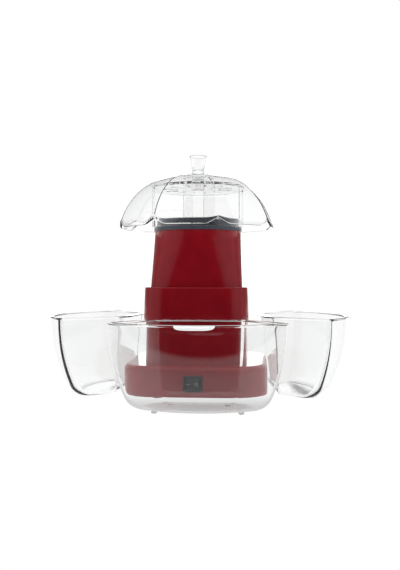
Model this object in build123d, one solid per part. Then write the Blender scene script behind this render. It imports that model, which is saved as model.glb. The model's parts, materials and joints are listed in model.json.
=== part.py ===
from build123d import *
import os
from math import pi, sin, sqrt, tan

# Hot-air popcorn maker with three clear bowls standing round it. Millimetres, +Z up, switch on the -Y side.
# The machine is drawn round its own vertical axis. The whole set is then moved by FOOTPRINT_SHIFT, so that
# the origin ends at the middle of the footprint, on the surface that everything stands on.
FOOTPRINT_SHIFT = 41.2

# Base: a rounded-square moulding on four feet
FOOT_HEIGHT = 8.0
FOOT_RADIUS = 9.0
FOOT_PLACE = 48.0
BASE_HALF = 91.5
BASE_CORNER = 42.0
BASE_TOP = 46.0
BASE_TOP_ROUND = 7.0
BASE_PLATE_THICKNESS = 2.5
AIR_SLOT_LENGTH = 46.0
AIR_SLOT_WIDTH = 4.0
AIR_SLOT_PITCH = 9.0
AIR_SLOT_ROWS = 9
AIRWAY_RADIUS = 50.0
SPIGOT_HEIGHT = 4.0
SPIGOT_WALL = 1.5
SCREW_POST_RADIUS = 4.0
GLAND_RADIUS = 5.0
FOOT_PLUG_RADIUS = 3.0
WALL = 2.5
FIT_GAP = 0.2

# Column, collar band and upper housing, stacked on the base
COLUMN_HALF_BOTTOM = 65.6
COLUMN_HALF_TOP = 64.6
COLUMN_CORNER = 30.0
COLLAR_BOTTOM = 101.0
COLLAR_TOP = 143.5
COLLAR_HALF_BOTTOM = 68.0
COLLAR_HALF_TOP = 66.7
COLLAR_CORNER = 32.0
UPPER_TOP = 217.0
UPPER_HALF_BOTTOM = 60.0
UPPER_HALF_TOP = 57.8
UPPER_CORNER_BOTTOM = 32.0
UPPER_FLARE_POWER = 1.35
UPPER_SECTIONS = 5

# Black ring at the mouth of the upper housing
LIP_RADIUS = 58.9
LIP_TOP = 222.5
NECK_RADIUS = 55.0
NECK_TOP = 230.0
MOUTH_RADIUS = 46.5

# Popping chamber and the air path below it
CHAMBER_RADIUS = 44.0
CHAMBER_BOTTOM = 112.0
SHEET = 1.0
SHROUD_RADIUS = 51.0
SHROUD_TOP = 190.0
LOUVRES = 16
LOUVRE_HEIGHT = 12.0
LOUVRE_LEAN = 30.0
COIL_TURNS = 4
COIL_PITCH = 4.0
COIL_RADIUS = 49.1
WIRE_RADIUS = 1.0
MICA_THICKNESS = 0.8
MICA_HALF_WIDTH = 48.0
THERMOSTAT_HEIGHT = 116.0
FAN_DECK = 60.0
FAN_DECK_RADIUS = 60.5
FAN_WALL_TOP = 90.0
IMPELLER_RADIUS = 42.0
IMPELLER_BLADES = 12
IMPELLER_BOTTOM = 66.0
BLADE_BEND = 30.0
DECK_THICKNESS = 2.5
DECK_POST_PLACE = 39.5
BRACKET_SCREW_PLACE = 26.0
MOTOR_SCREW_PLACE = 11.0
BRACKET_WIDTH = 12.0
BOARD_PLACE = 58.0
BOARD_UNDERSIDE = 16.0
BOARD_THICKNESS = 1.6
DIODES = 4
DIODE_PITCH = 8.0
DIODE_RADIUS = 2.0
SHAFT_RADIUS = 1.6
SHAFT_RUNNING_GAP = 0.05
MOTOR_RADIUS = 18.0
MOTOR_BOTTOM = 25.0
MOTOR_TOP = 58.5
MOTOR_NOSE_RADIUS = 4.0

# Clear cover: cage ring and legs, vented plate, canopy of eight petals, hollow knob
CAGE_RING_RADIUS = 60.3
CAGE_LEG_RADIUS = 61.6
CAGE_LEG_WIDTH = 14.0
CAGE_LEGS = 4
CAGE_TURN = 17.5
PLATE_BOTTOM = 273.4
PLATE_THICKNESS = 3.0
PLATE_VENTS = 12
VENT_PLACE = 37.0
VENT_LENGTH = 20.0
VENT_WIDTH = 5.0
TONGUE_WIDTH = 8.0
CAGE_WALL = 1.8
CLIP_RISE = 1.2
PETALS = 8
PETAL_MIDDLE_RADIUS = 101.7
PETAL_EDGE_HEIGHT = 221.8
PETAL_NOTCH_HEIGHT = 229.0
PETAL_NOTCH_WIDTH = 28.0
PETAL_AXIS_SETBACK = 130.0
CANOPY_TOP = 291.4
CANOPY_SPRING = 215.6
CANOPY_FULL_RADIUS = 102.5
CANOPY_BULGE = 3.0
CANOPY_STATIONS = 9
CANOPY_WALL = 2.0
BOSS_RADIUS = 18.0
BOSS_TOP = 293.0
KNOB_RADIUS = 10.8
KNOB_FOOT_RADIUS = 8.0
KNOB_TOP = 318.6
KNOB_RIM = 1.0
KNOB_WALL = 2.0
STEM_RADIUS = 4.0

# Clear bowl, drawn with u pointing away from the machine and v sideways
BOWL_RIM = 105.0
BOWL_BOTTOM = 2.0
BOWL_WALL = 2.0
BOWL_BACK_RIM = 85.0
BOWL_BACK_FOOT = 94.5
BOWL_BACK_HALF = 52.7
BOWL_CORNER_OUT = 148.0
BOWL_CORNER_HALF = 104.5
BOWL_FRONT_OUT = 191.0
BOWL_LEAN = 24.0
BOWL_LEAN_POWER = 2.2
BOWL_BOTTOM_ROUND = 14.0
BOWL_BACK_FLANGE = 7.5
BOWL_STATIONS = 14
BOWL_CORNER = 8.0
BOWL_TAB_LENGTH = 13.0
BOWL_TAB_WIDTH = 46.0
BOWL_TAB_THICKNESS = 2.5
BOWL_FOOT_RADIUS = 3.4
BOWL_FEET = [(115.0, 34.0), (140.0, 50.0)]
SIDE_BOWL_TURN = 98.0
FRONT_BOWL_PUSH = 5.0
FRONT_BOWL_SIDE = 9.5
SIDE_BOWL_PUSH = 6.8

# Rocker switch in the front wall of the base
SWITCH_WIDTH = 24.4
SWITCH_HEIGHT = 19.5
SWITCH_CENTRE = 25.5
SWITCH_BODY_WIDTH = 21.6
SWITCH_BODY_HEIGHT = 16.0
SWITCH_DEPTH = 18.0
BEZEL_THICKNESS = 1.5
ROCKER_SWING = 14.0
ROCKER_REACH = 9.5
ROCKER_PIVOT_DEPTH = 3.0
ROCKER_HALF_HEIGHT = 6.3
TRUNNION_RADIUS = 1.2
TRUNNION_LENGTH = 15.0
TERMINAL_LENGTH = 8.0
TERMINAL_PITCH = 6.0

# Fasteners
SCREW_SHANK = 1.4
SCREW_HOLE = 1.5
SCREW_HEAD = 3.0
SCREW_HEAD_HEIGHT = 1.8
COVER_SCREWS = [(-45.0, -78.0), (45.0, -78.0), (-45.0, 78.0), (45.0, 78.0)]

parts = {}


def tube(outer, inner, bottom, top):
    """Upright tube round the machine's axis."""
    ring = Circle(outer) - Circle(inner)
    return Pos(0, 0, bottom) * extrude(ring, top - bottom)


def rod(radius, bottom, top, x=0.0, y=0.0):
    """Upright round bar."""
    return Pos(x, y, bottom) * extrude(Circle(radius), top - bottom)


def hole(radius, bottom, top, x=0.0, y=0.0):
    """Cutter for an upright hole, a little longer than the wall it goes through."""
    return rod(radius, bottom - 1.0, top + 1.0, x, y)


def block(width, depth, bottom, top, x=0.0, y=0.0):
    """Upright rectangular block."""
    return Pos(x, y, bottom) * extrude(Rectangle(width, depth), top - bottom)


def rounded_prism(half, corner, bottom, top):
    """Upright prism on a rounded square."""
    return Pos(0, 0, bottom) * extrude(RectangleRounded(2 * half, 2 * half, corner), top - bottom)


def tapered_prism(half_bottom, half_top, corner, bottom, top):
    """Prism on a rounded square whose sides lean slightly."""
    low = Pos(0, 0, bottom) * RectangleRounded(2 * half_bottom, 2 * half_bottom, corner)
    high = Pos(0, 0, top) * RectangleRounded(2 * half_top, 2 * half_top, corner)
    return loft([low, high], ruled=True)


def edges_at(solid, height):
    """Edges that lie wholly in one horizontal plane."""
    return solid.edges().filter_by(lambda e: abs(e.bounding_box().min.Z - height) < 0.01
                                   and abs(e.bounding_box().max.Z - height) < 0.01)


def corners(place):
    """Four points of a square round the axis."""
    return [(sx * place, sy * place) for sx in (-1, 1) for sy in (-1, 1)]


def pan_head_screw(x, y, seat, tip, up=1):
    """Screw whose head is below its seat when up is 1."""
    head = Pos(x, y, seat - up * SCREW_HEAD_HEIGHT / 2) * Cylinder(SCREW_HEAD, SCREW_HEAD_HEIGHT)
    shank = Pos(x, y, (seat + tip) / 2) * Cylinder(SCREW_SHANK, abs(tip - seat))
    return head + shank


def base_housing():
    """Open-bottomed red moulding with the switch cut-out in front and the cord hole behind."""
    outer = rounded_prism(BASE_HALF, BASE_CORNER, FOOT_HEIGHT, BASE_TOP)
    outer = fillet(edges_at(outer, BASE_TOP), BASE_TOP_ROUND)
    outer = fillet(edges_at(outer, FOOT_HEIGHT), 1.5)
    inner = rounded_prism(BASE_HALF - WALL, BASE_CORNER - WALL, FOOT_HEIGHT, BASE_TOP - WALL)
    inner = fillet(edges_at(inner, BASE_TOP - WALL), BASE_TOP_ROUND - WALL)
    shell = outer - inner - rod(AIRWAY_RADIUS, BASE_TOP - 2 * WALL, BASE_TOP + WALL)
    spigot_half = COLUMN_HALF_BOTTOM - WALL - FIT_GAP
    spigot = rounded_prism(spigot_half, COLUMN_CORNER - WALL, BASE_TOP, BASE_TOP + SPIGOT_HEIGHT)
    spigot_corner = COLUMN_CORNER - WALL - SPIGOT_WALL
    spigot -= rounded_prism(spigot_half - SPIGOT_WALL, spigot_corner, BASE_TOP, BASE_TOP + SPIGOT_HEIGHT)
    shell += spigot
    for x, y in COVER_SCREWS:
        shell += rod(SCREW_POST_RADIUS, FOOT_HEIGHT + BASE_PLATE_THICKNESS, BASE_TOP - WALL / 2, x, y)
        shell -= rod(SCREW_HOLE, FOOT_HEIGHT, BASE_TOP - 3 * WALL, x, y)
    cutout = Box(SWITCH_BODY_WIDTH + FIT_GAP, 4 * WALL, SWITCH_BODY_HEIGHT + FIT_GAP)
    shell -= Pos(0, -BASE_HALF, SWITCH_CENTRE) * cutout
    shell -= Pos(0, BASE_HALF, SWITCH_CENTRE) * Rot(90, 0, 0) * Cylinder(GLAND_RADIUS + FIT_GAP, 4 * WALL)
    return shell


def base_plate():
    """Flat bottom cover with the slots that the fan draws its air through."""
    half = BASE_HALF - WALL - FIT_GAP
    top = FOOT_HEIGHT + BASE_PLATE_THICKNESS
    plate = rounded_prism(half, BASE_CORNER - WALL - FIT_GAP, FOOT_HEIGHT, top)
    slot = extrude(SlotOverall(AIR_SLOT_LENGTH, AIR_SLOT_WIDTH), BASE_PLATE_THICKNESS + 2)
    slot_place = AIR_SLOT_LENGTH / 2 + AIR_SLOT_WIDTH
    for side in (-1, 1):
        for row in range(AIR_SLOT_ROWS):
            row_place = (row - (AIR_SLOT_ROWS - 1) / 2) * AIR_SLOT_PITCH
            plate -= Pos(side * slot_place, row_place, FOOT_HEIGHT - 1) * slot
    for x, y in COVER_SCREWS:
        plate -= hole(SCREW_HOLE, FOOT_HEIGHT, top, x, y)
    for x, y in corners(FOOT_PLACE):
        plate -= hole(FOOT_PLUG_RADIUS, FOOT_HEIGHT, top, x, y)
    return plate


def foot(x, y):
    """Rubber foot with a spigot that plugs into the bottom cover."""
    pad = rod(FOOT_RADIUS, 0, FOOT_HEIGHT, x, y)
    pad = chamfer(edges_at(pad, 0), 1.0)
    plug_radius = FOOT_PLUG_RADIUS - FIT_GAP / 2
    return pad + rod(plug_radius, FOOT_HEIGHT, FOOT_HEIGHT + BASE_PLATE_THICKNESS, x, y)


def column_shell():
    """Lower column, open at both ends."""
    outer = tapered_prism(COLUMN_HALF_BOTTOM, COLUMN_HALF_TOP, COLUMN_CORNER, BASE_TOP, COLLAR_BOTTOM)
    inner = tapered_prism(COLUMN_HALF_BOTTOM - WALL, COLUMN_HALF_TOP - WALL, COLUMN_CORNER - WALL,
                          BASE_TOP, COLLAR_BOTTOM)
    return outer - inner


def collar_band():
    """Wider band between the column and the upper housing, with a ledge in its top."""
    outer = tapered_prism(COLLAR_HALF_BOTTOM, COLLAR_HALF_TOP, COLLAR_CORNER, COLLAR_BOTTOM, COLLAR_TOP)
    outer = fillet(edges_at(outer, COLLAR_TOP), 2.0)
    outer = fillet(edges_at(outer, COLLAR_BOTTOM), 1.2)
    bore_half = UPPER_HALF_BOTTOM - 3 * WALL
    hollow_half = COLLAR_HALF_TOP - 2 * WALL
    hollow = rounded_prism(hollow_half, COLLAR_CORNER - 2 * WALL, COLLAR_BOTTOM, COLLAR_TOP - WALL)
    mouth = rounded_prism(bore_half, UPPER_CORNER_BOTTOM - 3 * WALL, COLLAR_BOTTOM, COLLAR_TOP)
    return outer - hollow - mouth


def upper_section(t, inset, height):
    """Outline of the upper housing: t is 0 at its round top and 1 at its rounded-square foot."""
    half = UPPER_HALF_TOP + (UPPER_HALF_BOTTOM - UPPER_HALF_TOP) * t ** UPPER_FLARE_POWER - inset
    round_end = UPPER_HALF_TOP - 0.3
    corner = round_end + (UPPER_CORNER_BOTTOM - round_end) * t - inset
    return Pos(0, 0, height) * RectangleRounded(2 * half, 2 * half, corner)


def upper_housing():
    """Red shell that turns from a rounded square at its foot into a circle at its mouth."""
    shells = []
    for inset in (0.0, WALL):
        sections = []
        for step in range(UPPER_SECTIONS):
            t = 1 - step / (UPPER_SECTIONS - 1)
            height = COLLAR_TOP + (UPPER_TOP - COLLAR_TOP) * (1 - t)
            sections.append(upper_section(t, inset, height))
        shells.append(loft(sections))
    return shells[0] - shells[1]


def chamber_ring():
    """Black ring: a lip on the upper housing, a neck that the clear cage slips over, and a skirt inside."""
    lip = tube(LIP_RADIUS, MOUTH_RADIUS, UPPER_TOP, LIP_TOP)
    lip = fillet(edges_at(lip, LIP_TOP).filter_by(lambda e: e.radius > NECK_RADIUS), 1.5)
    neck = tube(NECK_RADIUS, MOUTH_RADIUS, LIP_TOP, NECK_TOP)
    skirt_radius = UPPER_HALF_TOP - WALL - 3 * FIT_GAP
    skirt = tube(skirt_radius, skirt_radius - WALL / 2 - 1.0, UPPER_TOP - 8.0, UPPER_TOP)
    return lip + neck + skirt


def popping_chamber():
    """Aluminium cup: rim flange on the black ring, straight wall, slanted louvres near the floor."""
    wall = tube(CHAMBER_RADIUS + SHEET, CHAMBER_RADIUS, CHAMBER_BOTTOM, NECK_TOP + SHEET)
    flange = tube(NECK_RADIUS - 2.0, CHAMBER_RADIUS, NECK_TOP, NECK_TOP + SHEET)
    cup = wall + flange
    slot = Rot(LOUVRE_LEAN, 0, 0) * Box(6 * SHEET, 2 * SHEET, LOUVRE_HEIGHT)
    slot = Pos(CHAMBER_RADIUS, 0, CHAMBER_BOTTOM + LOUVRE_HEIGHT) * slot
    for count in range(LOUVRES):
        cup -= Rot(0, 0, count * 360 / LOUVRES) * slot
    return cup


def chamber_floor():
    """Shallow cone that closes the popping chamber."""
    radius = CHAMBER_RADIUS - 0.02
    rise = 5.0
    knee = radius - 4
    under = [(0, rise), (knee, 0), (radius, 0)]
    over = [(radius, SHEET), (knee, SHEET), (0, rise + SHEET)]
    outline = Polyline(under + over + under[:1])
    face = make_face(Plane.XZ * outline)
    return Pos(0, 0, CHAMBER_BOTTOM) * revolve(face, Axis.Z)


def heater_shroud():
    """Steel duct that leads the hot air up round the chamber and in through its louvres."""
    wall = tube(SHROUD_RADIUS + SHEET, SHROUD_RADIUS, FAN_WALL_TOP, SHROUD_TOP)
    lid = tube(SHROUD_RADIUS + SHEET, CHAMBER_RADIUS + SHEET + FIT_GAP, SHROUD_TOP, SHROUD_TOP + SHEET)
    foot_flange = tube(SHROUD_RADIUS + 4, SHROUD_RADIUS, FAN_WALL_TOP, FAN_WALL_TOP + SHEET)
    return wall + lid + foot_flange


def heater_frame():
    """Two crossed mica boards that carry the heating wire."""
    board = block(2 * MICA_HALF_WIDTH, MICA_THICKNESS, FAN_WALL_TOP + 2, CHAMBER_BOTTOM - 2)
    foot_tab = block(2 * SHROUD_RADIUS, MICA_THICKNESS, FAN_WALL_TOP, FAN_WALL_TOP + 2)
    return board + foot_tab + Rot(0, 0, 90) * (board + foot_tab)


def heating_coil():
    """Turns of heating wire round the mica boards."""
    section = Plane.XZ * (Pos(COIL_RADIUS, 0) * RegularPolygon(WIRE_RADIUS, 8))
    ring = revolve(section, Axis.Z)
    lowest = FAN_WALL_TOP + 5 * WIRE_RADIUS
    return Compound(children=[Pos(0, 0, lowest + turn * COIL_PITCH) * ring for turn in range(COIL_TURNS)])


def thermostat():
    """Bimetal cut-out clamped to the outside of the shroud."""
    back = SHROUD_RADIUS + SHEET
    pad_thickness = 1.6
    can_depth = 5.0
    pad = Pos(0, back + pad_thickness / 2, 0) * Box(18, pad_thickness, 14)
    can = Pos(0, back + pad_thickness + can_depth / 2, 0) * Rot(90, 0, 0) * Cylinder(6.5, can_depth)
    return Pos(0, 0, THERMOSTAT_HEIGHT) * (pad + can)


def thermal_fuse():
    """One-shot fuse lying along the top of a mica board."""
    fuse_radius = 1.0
    fuse_length = 12.0
    along = MICA_HALF_WIDTH / 2 - fuse_length / 2
    fuse = Rot(0, 90, 0) * Cylinder(fuse_radius, fuse_length)
    return Pos(along, 0, CHAMBER_BOTTOM - 2 + fuse_radius) * fuse


def fan_housing():
    """Black deck and wall round the impeller, standing on the base on four legs."""
    deck_top = FAN_DECK + DECK_THICKNESS
    opening = IMPELLER_RADIUS - 12.0
    deck = tube(FAN_DECK_RADIUS, opening, FAN_DECK, deck_top)
    wall = tube(SHROUD_RADIUS + 3, SHROUD_RADIUS, deck_top, FAN_WALL_TOP)
    rim = tube(SHROUD_RADIUS + 4, SHROUD_RADIUS, FAN_WALL_TOP - 2.5, FAN_WALL_TOP)
    bars = block(2 * (opening + 2), BRACKET_WIDTH, FAN_DECK, deck_top)
    housing = deck + wall + rim + (bars - hole(MOTOR_RADIUS - 3, FAN_DECK, deck_top))
    for x, y in corners(DECK_POST_PLACE):
        housing += rod(SCREW_POST_RADIUS - 0.5, BASE_TOP, FAN_DECK, x, y)
    for side in (-1, 1):
        housing -= hole(SCREW_HOLE, FAN_DECK, deck_top, side * BRACKET_SCREW_PLACE)
    return housing


def motor_bracket():
    """Steel strap under the fan deck that the motor hangs from."""
    strap = block(2 * BRACKET_SCREW_PLACE + 10, BRACKET_WIDTH, MOTOR_TOP, FAN_DECK)
    strap -= hole(MOTOR_NOSE_RADIUS + 1, MOTOR_TOP, FAN_DECK)
    for side in (-1, 1):
        for place in (BRACKET_SCREW_PLACE, MOTOR_SCREW_PLACE):
            strap -= hole(SCREW_HOLE, MOTOR_TOP, FAN_DECK, side * place)
    return strap


def motor():
    """Round can motor with a nose boss, tail boss and the running bore for its shaft."""
    can = rod(MOTOR_RADIUS, MOTOR_BOTTOM + 2, MOTOR_TOP)
    can = fillet(edges_at(can, MOTOR_BOTTOM + 2), 2.0)
    nose = rod(MOTOR_NOSE_RADIUS, MOTOR_TOP, MOTOR_TOP + 3)
    tail = rod(MOTOR_NOSE_RADIUS + 1, MOTOR_BOTTOM, MOTOR_BOTTOM + 2)
    body = can + nose + tail
    body -= rod(SHAFT_RADIUS + SHAFT_RUNNING_GAP, MOTOR_BOTTOM + 10, MOTOR_TOP + 3)
    for side in (-1, 1):
        body -= rod(SCREW_HOLE, MOTOR_TOP - 6, MOTOR_TOP, side * MOTOR_SCREW_PLACE)
    return body


def motor_shaft():
    """Steel shaft from the motor up through the impeller."""
    return rod(SHAFT_RADIUS, MOTOR_BOTTOM + 11, FAN_DECK + 25)


def fan_impeller():
    """Backing disc, hub and curved blades, pressed on the shaft."""
    disc_thickness = 1.5
    blade_height = 13.5
    blade_thickness = 1.2
    hub_top = IMPELLER_BOTTOM + 17
    wheel = rod(IMPELLER_RADIUS, IMPELLER_BOTTOM, IMPELLER_BOTTOM + disc_thickness)
    wheel += rod(6.0, IMPELLER_BOTTOM, hub_top)
    bent_sheet = Circle(BLADE_BEND) - Circle(BLADE_BEND - blade_thickness)
    bent_sheet = Pos(IMPELLER_RADIUS - BLADE_BEND / 2 - 2, -BLADE_BEND) * bent_sheet
    sector = Pos(IMPELLER_RADIUS - 12, 0) * Rectangle(22, 40)
    blade = extrude(bent_sheet & sector, blade_height)
    blade = Pos(0, 0, IMPELLER_BOTTOM + disc_thickness) * blade
    blade &= rod(IMPELLER_RADIUS, IMPELLER_BOTTOM, hub_top)
    for count in range(IMPELLER_BLADES):
        wheel += Rot(0, 0, count * 360 / IMPELLER_BLADES) * blade
    return wheel - hole(SHAFT_RADIUS - SHAFT_RUNNING_GAP, IMPELLER_BOTTOM, hub_top)


def rectifier_board():
    """Small circuit board that turns mains into direct current for the motor, on two posts."""
    length = 44.0
    board = block(30.0, length, BOARD_UNDERSIDE, BOARD_UNDERSIDE + BOARD_THICKNESS, BOARD_PLACE, 0)
    for side in (-1, 1):
        post_place = side * (length / 2 - 5)
        board += rod(3.0, FOOT_HEIGHT + BASE_PLATE_THICKNESS, BOARD_UNDERSIDE, BOARD_PLACE, post_place)
    return board


def rectifier_diodes():
    """Four diodes lying across the board."""
    height = BOARD_UNDERSIDE + BOARD_THICKNESS + DIODE_RADIUS
    diodes = []
    for count in range(DIODES):
        place = (count - (DIODES - 1) / 2) * DIODE_PITCH
        diodes.append(Pos(BOARD_PLACE, place, height) * Rot(0, 90, 0) * Cylinder(DIODE_RADIUS, 9.0))
    return Compound(children=diodes)


def switch_housing():
    """Rocker switch body: bezel, well for the rocker, pivot holes above and below."""
    body = Box(SWITCH_BODY_WIDTH, SWITCH_DEPTH, SWITCH_BODY_HEIGHT)
    body = Pos(0, SWITCH_DEPTH / 2, 0) * body
    bezel = fillet(Box(SWITCH_WIDTH, BEZEL_THICKNESS, SWITCH_HEIGHT).edges().filter_by(Axis.Y), 1.5)
    body += Pos(0, -BEZEL_THICKNESS / 2, 0) * bezel
    well_depth = 11.0
    well = Box(2 * ROCKER_REACH + 3 * FIT_GAP, well_depth, 2 * ROCKER_HALF_HEIGHT + 3 * FIT_GAP)
    body -= Pos(0, well_depth / 2 - BEZEL_THICKNESS, 0) * well
    pivot_hole = Cylinder(TRUNNION_RADIUS + SHAFT_RUNNING_GAP, TRUNNION_LENGTH + 2 * FIT_GAP)
    body -= Pos(0, ROCKER_PIVOT_DEPTH, 0) * pivot_hole
    return Pos(0, -BASE_HALF, SWITCH_CENTRE) * body


def switch_rocker():
    """Rocker with a hollow front, standing tilted to its off side, on two trunnions."""
    reach = ROCKER_REACH
    profile = Circle(reach) & (Pos(0, -reach / 2 + 1) * Rectangle(2 * reach, reach + 2))
    hollow_radius = 28.0
    profile -= Pos(0, -hollow_radius - 5.5) * Circle(hollow_radius)
    rocker = Pos(0, 0, -ROCKER_HALF_HEIGHT) * extrude(profile, 2 * ROCKER_HALF_HEIGHT)
    rocker += Cylinder(TRUNNION_RADIUS, TRUNNION_LENGTH)
    tilted = Rot(0, 0, -ROCKER_SWING / 2) * rocker
    return Pos(0, ROCKER_PIVOT_DEPTH - BASE_HALF, SWITCH_CENTRE) * tilted


def switch_terminals():
    """Three push-on tabs at the back of the switch."""
    middle = SWITCH_DEPTH - BASE_HALF + TERMINAL_LENGTH / 2
    tab = Pos(0, middle, SWITCH_CENTRE) * Box(0.8, TERMINAL_LENGTH, 6.3)
    return Compound(children=[Pos(side * TERMINAL_PITCH, 0, 0) * tab for side in (-1, 0, 1)])


def cord_gland():
    """Flanged rubber bush in the back wall that the mains lead would leave through."""
    flange = rod(1.5 * GLAND_RADIUS, 0, 3)
    neck = rod(GLAND_RADIUS, -WALL, 0)
    keeper = rod(GLAND_RADIUS + 1, -WALL - 2, -WALL)
    nose = rod(GLAND_RADIUS, 3, 9)
    bush = flange + neck + keeper + nose - hole(3.3, -WALL - 2, 9)
    return Pos(0, BASE_HALF, SWITCH_CENTRE) * Rot(-90, 0, 0) * bush


def cage_frame():
    """Clear ring that slips over the black neck, with four flat legs standing on it."""
    bottom = LIP_TOP + FIT_GAP
    frame = tube(CAGE_RING_RADIUS, NECK_RADIUS + 0.3, bottom, NECK_TOP + 1)
    leg = tube(CAGE_LEG_RADIUS, CAGE_LEG_RADIUS - CAGE_WALL, bottom, PLATE_BOTTOM)
    leg &= block(40, CAGE_LEG_WIDTH, bottom, PLATE_BOTTOM, CAGE_LEG_RADIUS)
    tongue_top = PLATE_BOTTOM + PLATE_THICKNESS + CLIP_RISE
    tongue = tube(CAGE_LEG_RADIUS, CAGE_LEG_RADIUS - CAGE_WALL, PLATE_BOTTOM, tongue_top)
    tongue &= block(40, TONGUE_WIDTH, PLATE_BOTTOM, tongue_top, CAGE_LEG_RADIUS)
    for count in range(CAGE_LEGS):
        turn = -90 + CAGE_TURN + count * 360 / CAGE_LEGS
        frame += Rot(0, 0, turn) * (leg + tongue)
    return frame


def cage_plate():
    """Round vented plate on the cage's legs, with a boss that takes the knob's stem."""
    top = PLATE_BOTTOM + PLATE_THICKNESS
    plate = rod(CAGE_LEG_RADIUS, PLATE_BOTTOM, top)
    vent = Pos(VENT_PLACE, 0, PLATE_BOTTOM) * extrude(SlotOverall(VENT_LENGTH, VENT_WIDTH), PLATE_THICKNESS)
    for count in range(PLATE_VENTS):
        plate -= Rot(0, 0, (count + 0.5) * 360 / PLATE_VENTS) * vent
    notch = block(5.0, TONGUE_WIDTH + 2 * FIT_GAP, PLATE_BOTTOM, top, CAGE_LEG_RADIUS + 0.5)
    for count in range(CAGE_LEGS):
        plate -= Rot(0, 0, -90 + CAGE_TURN + count * 360 / CAGE_LEGS) * notch
    boss = rod(2 * STEM_RADIUS, top, CANOPY_TOP - CANOPY_WALL)
    return plate + boss - rod(STEM_RADIUS + 0.05, PLATE_BOTTOM, CANOPY_TOP)


def canopy_profile():
    """Half section of the canopy, from the centre to the edge, as (distance from the axis, height)."""
    points = []
    for step in range(CANOPY_STATIONS + 1):
        share = sin(step / CANOPY_STATIONS * pi / 2)
        radius = PETAL_MIDDLE_RADIUS * share
        left = 1 - (radius / CANOPY_FULL_RADIUS) ** CANOPY_BULGE
        points.append((radius, CANOPY_SPRING + (CANOPY_TOP - CANOPY_SPRING) * left ** (2 / CANOPY_BULGE)))
    return points


def inward(points, distance):
    """The same run of points moved square to itself, to the inside."""
    moved = []
    for index, (r, z) in enumerate(points):
        before = points[max(index - 1, 0)]
        after = points[min(index + 1, len(points) - 1)]
        dr = after[0] - before[0]
        dz = after[1] - before[1]
        length = sqrt(dr * dr + dz * dz)
        moved.append((r + distance * dz / length, z - distance * dr / length))
    return moved


def petals():
    """Eight equal petals. Each is part of a wider turned shell whose axis is set back, so creases form."""
    outer = canopy_profile()
    inner = inward(outer, CANOPY_WALL)
    inner[0] = (0.0, CANOPY_TOP - CANOPY_WALL)
    set_back = PETAL_AXIS_SETBACK
    section = Spline([(r + set_back, z) for r, z in outer])
    section += Line((outer[-1][0] + set_back, outer[-1][1]), (inner[-1][0] + set_back, inner[-1][1]))
    section += Spline([(r + set_back, z) for r, z in reversed(inner)])
    section += Line((set_back, CANOPY_TOP - CANOPY_WALL), (set_back, CANOPY_TOP))
    turned = revolve(make_face(Plane.XZ * section), Axis.Z, 80)
    turned = Pos(-set_back, 0, 0) * Rot(0, 0, -40) * turned
    reach = 140.0
    half_side = reach * tan(pi / PETALS)
    wedge = make_face(Polyline((0, 0), (reach, -half_side), (reach, half_side), (0, 0)))
    wedge = Pos(0, 0, 200) * extrude(wedge, 120)
    petal = turned & wedge
    shell = None
    for count in range(PETALS):
        turn = -90 + CAGE_TURN + (count + 0.5) * 360 / PETALS
        piece = Rot(0, 0, turn) * petal
        shell = piece if shell is None else shell + piece
    return shell


def petal_notch():
    """Cutter for the shallow notch in the edge where two petals meet."""
    half = PETAL_NOTCH_WIDTH / 2
    rise = PETAL_NOTCH_HEIGHT - PETAL_EDGE_HEIGHT
    outline = Polyline((-half, 0), (-half, -1), (half, -1), (half, 0), (0, rise), (-half, 0))
    return Pos(70, 0, PETAL_EDGE_HEIGHT) * (Plane.YZ * extrude(make_face(outline), 60))


def canopy():
    """Canopy with the notches between petals, the round boss and the hole for the knob's stem."""
    shell = petals()
    notch = petal_notch()
    for count in range(PETALS):
        shell -= Rot(0, 0, -90 + CAGE_TURN + count * 360 / PETALS) * notch
    boss = fillet(edges_at(rod(BOSS_RADIUS, CANOPY_TOP - 1.5, BOSS_TOP), BOSS_TOP), 1.0)
    return shell + boss - rod(STEM_RADIUS + FIT_GAP, CANOPY_TOP - 10, BOSS_TOP)


def knob():
    """Hollow clear knob, widening upwards, with a stem that plugs into the cage plate's boss."""
    shoulder = BOSS_TOP + 12
    cup_floor = BOSS_TOP + 6
    outside = [(0, BOSS_TOP), (KNOB_FOOT_RADIUS, BOSS_TOP), (KNOB_FOOT_RADIUS, BOSS_TOP + 4),
               (KNOB_RADIUS, shoulder), (KNOB_RADIUS, KNOB_TOP - 2.5),
               (KNOB_RADIUS + KNOB_RIM, KNOB_TOP - 1.5), (KNOB_RADIUS + KNOB_RIM, KNOB_TOP)]
    inside = [(KNOB_RADIUS - KNOB_WALL, KNOB_TOP), (KNOB_RADIUS - KNOB_WALL, shoulder),
              (KNOB_FOOT_RADIUS - KNOB_WALL, cup_floor), (0, cup_floor)]
    outline = Polyline(outside + inside + outside[:1])
    cup = revolve(make_face(Plane.XZ * outline), Axis.Z)
    return cup + rod(STEM_RADIUS, PLATE_BOTTOM + 1, BOSS_TOP)


def bowl_lean(height):
    """How far the bowl's outer and side walls stand inside their place at the rim."""
    t = (BOWL_RIM - height) / (BOWL_RIM - BOWL_BOTTOM)
    rise = min(height - BOWL_BOTTOM, BOWL_BOTTOM_ROUND)
    left = BOWL_BOTTOM_ROUND - rise
    corner = BOWL_BOTTOM_ROUND - sqrt(BOWL_BOTTOM_ROUND ** 2 - left ** 2)
    return BOWL_LEAN * t ** BOWL_LEAN_POWER + corner


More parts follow.
